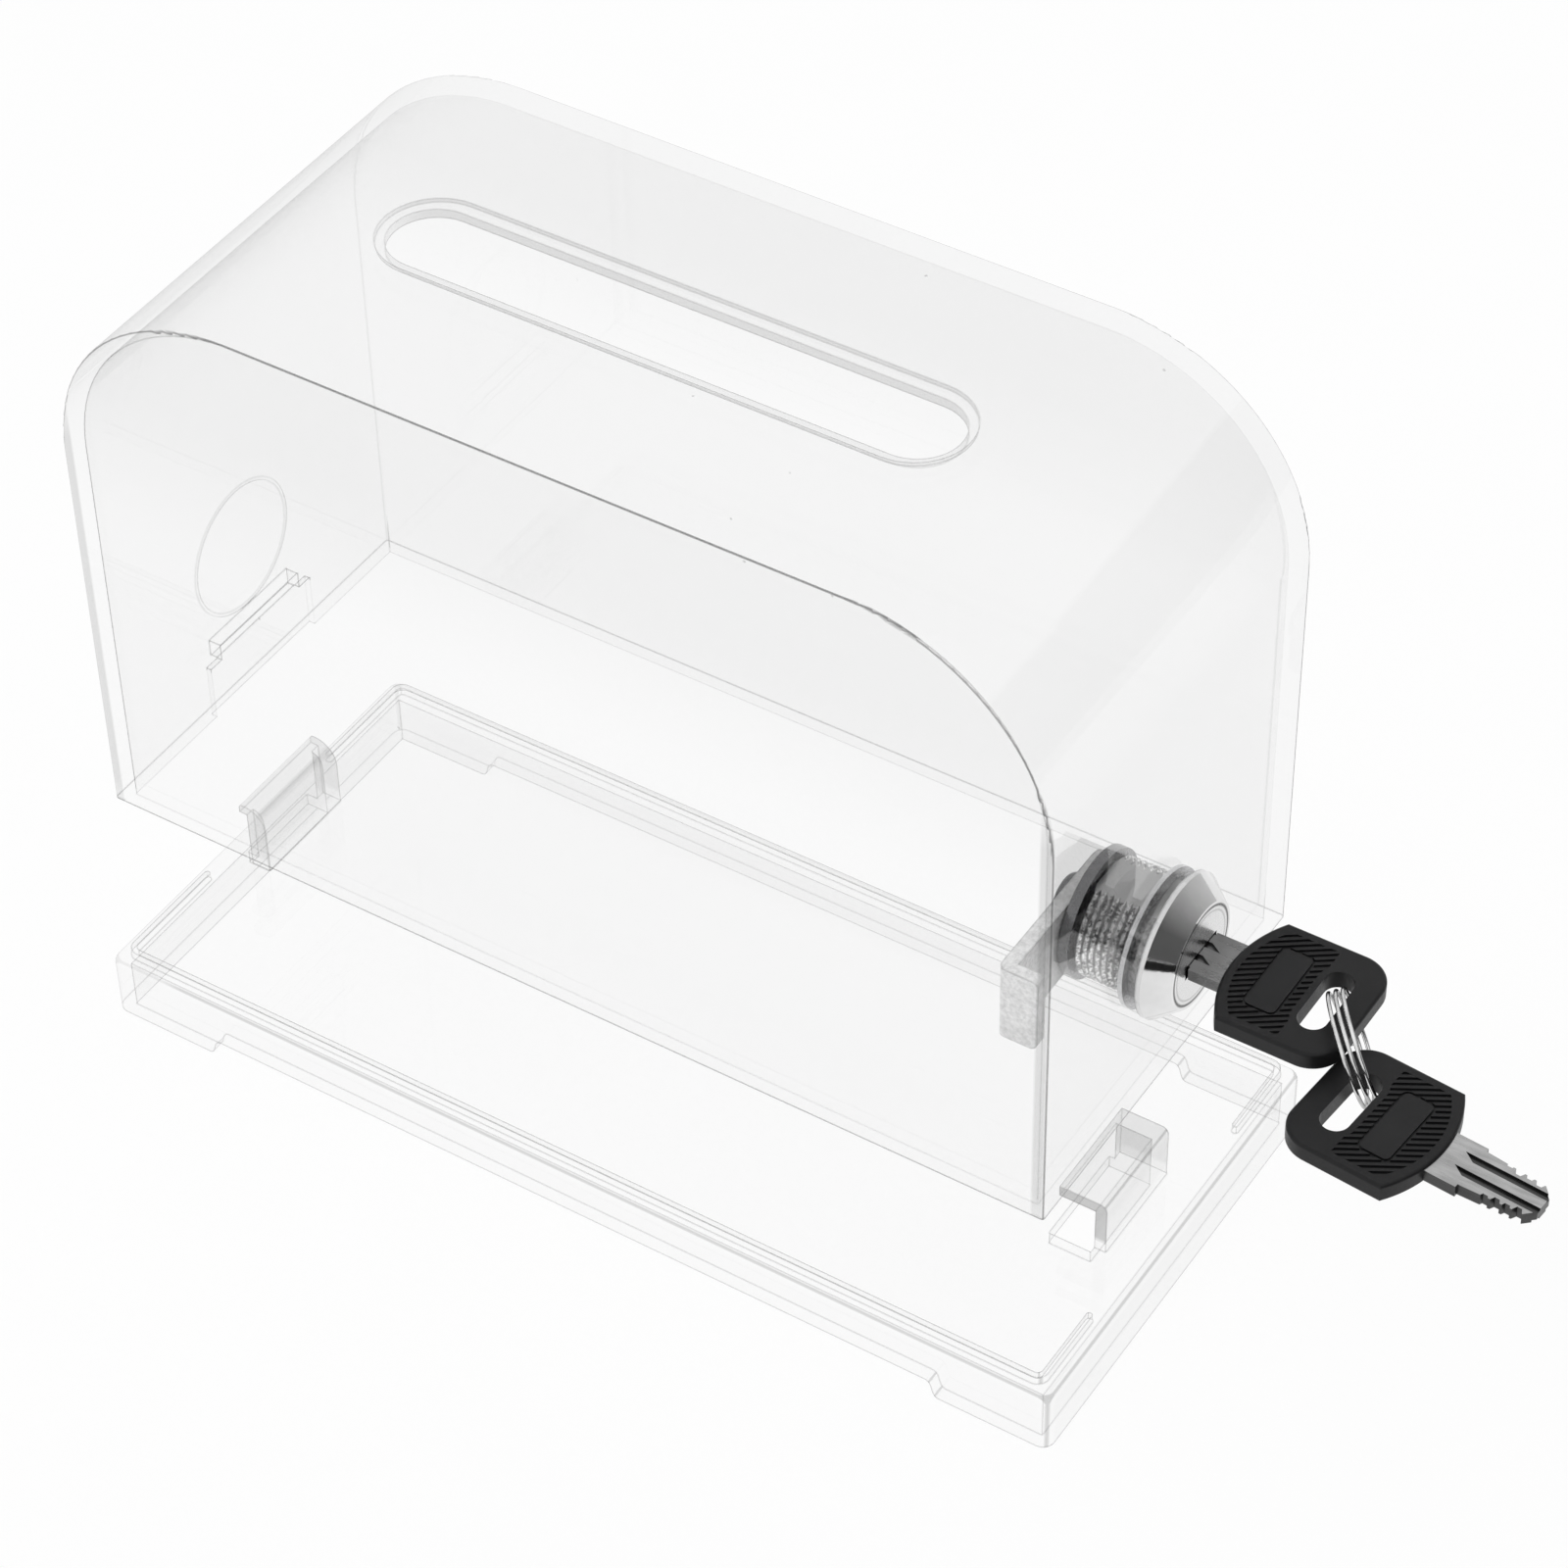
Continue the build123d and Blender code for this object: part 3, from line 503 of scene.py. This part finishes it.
def paint_all():
    nickel = metal("nickel_dull", (0.22, 0.22, 0.225), 0.2, 0.34, 420.0, 0.2)
    pale = metal("fixing_ring_bright", (0.62, 0.62, 0.63), 0.16, 0.3, 500.0)
    brass = metal("brass_stamped", (0.72, 0.56, 0.28), 0.25, 0.4, 500.0)
    black = black_plastic()
    paint("cover_shell", clear_plastic("clear_plastic_cover", cover_painted_shade))
    paint("base_tray", clear_plastic("clear_plastic_base", base_painted_shade))
    paint("lock_housing", lock_chrome())
    paint("lock_plug", lock_face())
    for name in ("stop_washer", "cam_washer", "cam_screw", "wafer_springs"):
        paint(name, nickel)
    paint("fixing_ring", pale)
    for name in ("wafer_tumblers", "plug_retainer"):
        paint(name, brass)
    paint("cam_hook", cast_zinc())
    for name in ("key_1_head", "key_2_head"):
        paint(name, black)
    # Both blades are one steel painted in two greys: the lock's blade darker as painted shade, the loose
    # blade lighter as painted light, with stronger painted shade in its grooves.
    paint("key_1_blade", blade_steel("steel_blade_lock_painted_shade", 0.20, 0.26, BLADE_1_PLACE, 0, 0.35))
    loose_painted_light = blade_steel("steel_blade_loose_painted_light", 0.34, 0.52, BLADE_2_PLACE, BLADE_2_YAW, 0.82)
    paint("key_2_blade", loose_painted_light)
    paint("split_ring", ring_wire())


# Floor, world and lamps
def flat_sheet(name, half_x, half_y, material):
    mesh = bpy.data.meshes.new(name)
    corners = [(-half_x, -half_y, 0), (half_x, -half_y, 0), (half_x, half_y, 0), (-half_x, half_y, 0)]
    mesh.from_pydata(corners, [], [(0, 1, 2, 3)])
    mesh.materials.append(material)
    obj = bpy.data.objects.new(name, mesh)
    bpy.context.scene.collection.objects.link(obj)
    return obj


def aim_at(obj, place, aim):
    obj.location = place
    direction = Vector(aim) - Vector(place)
    obj.rotation_euler = direction.to_track_quat("-Z", "Y").to_euler()


def floor():
    """A pale floor just under the part, that keeps a faint shadow."""
    material, tree = new_material("floor_pale")
    grain = noise(tree, 40.0, 3.0, 0.5)
    color = shade(tree, grain, (0.90, 0.90, 0.90), (0.93, 0.93, 0.93))
    base = tree.add("ShaderNodeBsdfDiffuse", Color=color)
    glow = tree.add("ShaderNodeEmission", Color=(1, 1, 1, 1), Strength=1.0)
    share = math_node(tree, "MULTIPLY", beyond_camera(tree), 0.9)
    finish_surface(tree, mix_shaders(tree, share, base.outputs["BSDF"], glow.outputs["Emission"]))
    obj = flat_sheet("floor", 3.0, 3.0, material)
    obj.location.z = -0.0002


def world():
    """White where it is seen, and a softer white as light."""
    studio = bpy.data.worlds.new("studio")
    bpy.context.scene.world = studio
    studio.use_nodes = True
    tree = Tree(studio.node_tree)
    shown = tree.add("ShaderNodeBackground", Color=(1, 1, 1, 1), Strength=1.0)
    soft = tree.add("ShaderNodeBackground", Color=(1, 1, 1, 1), Strength=0.75)
    mixed = mix_shaders(tree, beyond_camera(tree), soft.outputs[0], shown.outputs[0])
    tree.add("ShaderNodeOutputWorld", Surface=mixed)


def card(name, place, aim, width, height, dark, light):
    """A board seen in reflections alone, for the dark bands of the chrome, paler toward the rear."""
    material, tree = new_material(name + "_board")
    weave = noise(tree, 60.0)
    geometry = tree.add("ShaderNodeNewGeometry")
    tone = spread(tree, split(tree, geometry.outputs["Position"])[1], dark, light, -0.1, 0.55)
    shader = tree.add("ShaderNodeBsdfDiffuse", Color=darken(tree, tone, weave, 0.15))
    finish_surface(tree, shader.outputs["BSDF"])
    obj = flat_sheet(name, width / 2, height / 2, material)
    aim_at(obj, place, aim)
    obj.visible_camera = False
    obj.visible_diffuse = False
    obj.visible_transmission = False
    obj.visible_shadow = False


def cards():
    lock = (0.082, 0, 0.068)
    card("board_side", (0.50, 0.04, 0.19), lock, 0.80, 0.36, 0.13, 0.75)
    card("board_rear", (0.333, 0.47, 0.20), lock, 0.28, 0.38, 0.13, 0.75)
    card("board_low", (0.32, -0.24, 0.02), lock, 0.3, 0.10, 0.02, 0.05)


def lamp(name, place, aim, size, power):
    data = bpy.data.lights.new(name, "AREA")
    data.shape = "RECTANGLE"
    data.size, data.size_y = size
    data.energy = power
    obj = bpy.data.objects.new(name, data)
    aim_at(obj, place, aim)
    obj.visible_glossy = False
    bpy.context.scene.collection.objects.link(obj)


def lamps():
    lamp("key", (-0.45, -0.55, 0.95), (0, 0, 0.07), (0.7, 0.5), 3.0)
    lamp("rim", (0.5, 0.75, 0.55), (0.02, 0, 0.08), (0.5, 0.4), 1.6)


def camera():
    """The photo's angle, set from the corners of the cover and the base."""
    photo_width, focal_pixels = 1600, 5054
    data = bpy.data.cameras.new("camera")
    data.sensor_width = 36.0
    data.lens = data.sensor_width * focal_pixels / photo_width
    data.clip_start, data.clip_end = 0.01, 20.0
    obj = bpy.data.objects.new("camera", data)
    right = Vector((0.843324, 0.537164, -0.016112))
    up = Vector((-0.359588, 0.58631, 0.725904))
    matrix = Matrix((right, up, right.cross(up).normalized())).transposed().to_4x4()
    matrix.translation = Vector((0.29817, -0.42754, 0.55169))
    obj.matrix_world = matrix
    bpy.context.scene.collection.objects.link(obj)
    bpy.context.scene.camera = obj


bpy.context.scene.view_settings.view_transform = "Standard"
paint_all()
floor()
world()
lamps()
cards()
camera()
